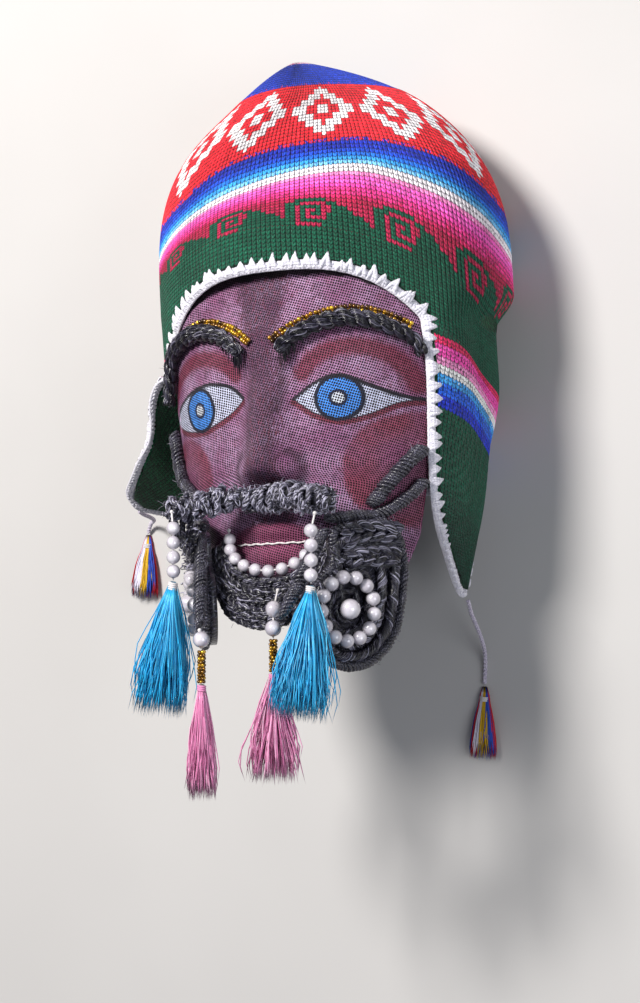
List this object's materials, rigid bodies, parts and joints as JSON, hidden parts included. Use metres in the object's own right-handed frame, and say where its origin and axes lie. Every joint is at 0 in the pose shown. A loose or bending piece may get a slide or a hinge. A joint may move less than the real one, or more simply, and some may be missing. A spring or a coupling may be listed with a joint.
{
  "type": "chuta mask",
  "caption": "Folk dance mask: a painted wire-gauze face with cord brows, beard curls, pearls and tassels, fixed in a patterned knitted cap with ear flaps.",
  "frame": {"origin": "centre of the small flat at the back of the cap, on which the mask lies face up", "axes": "+Z out of the face, +Y towards the cap's tip, +X towards the viewer's right"},
  "size_m": [0.2486, 0.361, 0.1914],
  "materials": {
    "painted_gauze": "matte paint on woven wire",
    "knitted_wool": "knitted wool with colour bands",
    "crochet_edging": "white crochet wool",
    "dark_cord": "dark grey wrapped yarn cord",
    "gold_beads": "amber gold seed beads",
    "pearl": "imitation pearl",
    "turquoise_floss": "silky floss",
    "pink_floss": "silky floss",
    "mixed_floss": "wool yarn of many colours",
    "tie_cord": "twisted pale wool"
  },
  "bodies": {
    "root": {"face_screen": "painted_gauze", "knit_cap": "knitted_wool", "cap_edging": "crochet_edging", "moustache": "dark_cord", "chin_beard": "dark_cord", "lip_pearls": "pearl", "brow_left": "dark_cord", "brow_beads_left": "gold_beads", "cheek_cord_left": "dark_cord", "jaw_cord_left": "dark_cord", "beard_curl_left": "dark_cord", "curl_pearls_left": "pearl", "curl_stud_left": "pearl", "beard_spindle_left": "dark_cord", "moustache_pearls_left": "pearl", "blue_tassel_left": "turquoise_floss", "flap_tie_left": "tie_cord", "flap_tassel_left": "mixed_floss", "brow_right": "dark_cord", "brow_beads_right": "gold_beads", "cheek_cord_right": "dark_cord", "jaw_cord_right": "dark_cord", "beard_curl_right": "dark_cord", "curl_pearls_right": "pearl", "curl_stud_right": "pearl", "beard_spindle_right": "dark_cord", "moustache_pearls_right": "pearl", "blue_tassel_right": "turquoise_floss", "flap_tie_right": "tie_cord", "flap_tassel_right": "mixed_floss", "drop_pearls_left": "pearl", "drop_gold_left": "gold_beads", "pink_tassel_left": "pink_floss", "drop_pearls_middle": "pearl", "drop_gold_middle": "gold_beads", "pink_tassel_middle": "pink_floss"}
  },
  "joints": []
}
